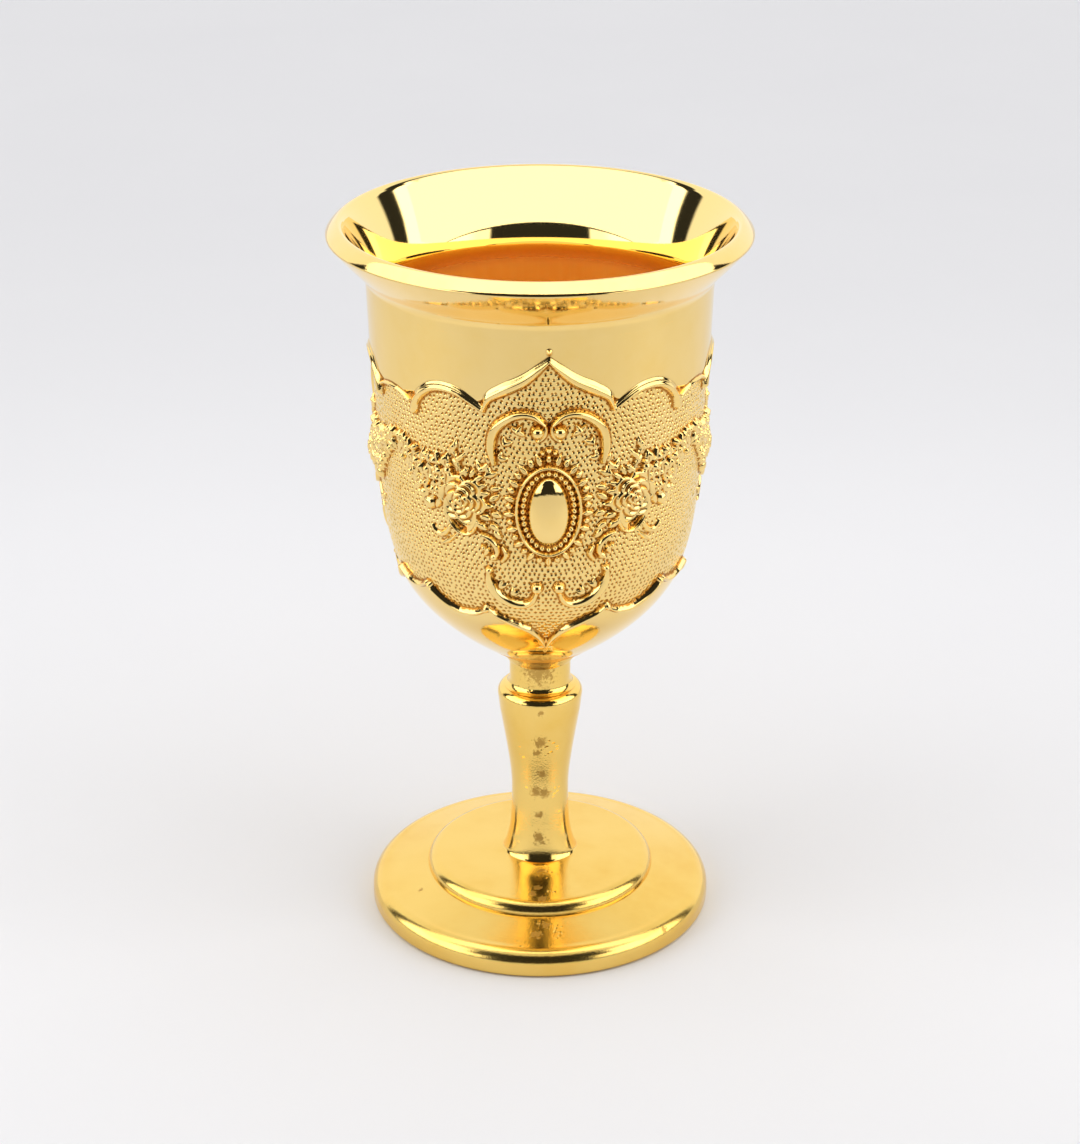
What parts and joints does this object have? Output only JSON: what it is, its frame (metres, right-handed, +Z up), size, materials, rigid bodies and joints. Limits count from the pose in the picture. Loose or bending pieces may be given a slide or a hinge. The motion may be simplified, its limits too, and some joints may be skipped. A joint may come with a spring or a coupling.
{
  "type": "footed goblet vessel",
  "caption": "Open goblet-shaped altar vessel: flared cup with relief medallions on a turned stem and a two-tier round foot.",
  "frame": {"origin": "on the vessel's axis, at the plane the foot stands on", "axes": "+Z up along the axis towards the lip; -Y is the front, which one medallion faces within three degrees"},
  "size_m": [0.0834, 0.0834, 0.15],
  "materials": {
    "gold_plate_pale": "polished gold plate with a hammered recessed frieze",
    "gold_plate": "polished gold plate over a slightly pitted casting",
    "raw_brass": "turned, unplated",
    "zinc_steel": "zinc plated",
    "brushed_brass": "spun sheet, satin"
  },
  "bodies": {
    "root": {"bowl": "gold_plate_pale", "bowl_boss": "raw_brass", "neck_collar": "gold_plate", "knop": "gold_plate", "stem": "gold_plate", "stem_foot": "gold_plate", "foot_dome": "gold_plate", "foot_plate": "gold_plate", "tie_rod": "zinc_steel", "flat_washer": "zinc_steel", "spring_washer": "zinc_steel", "thin_nut": "zinc_steel", "base_cover": "brushed_brass"}
  },
  "joints": []
}
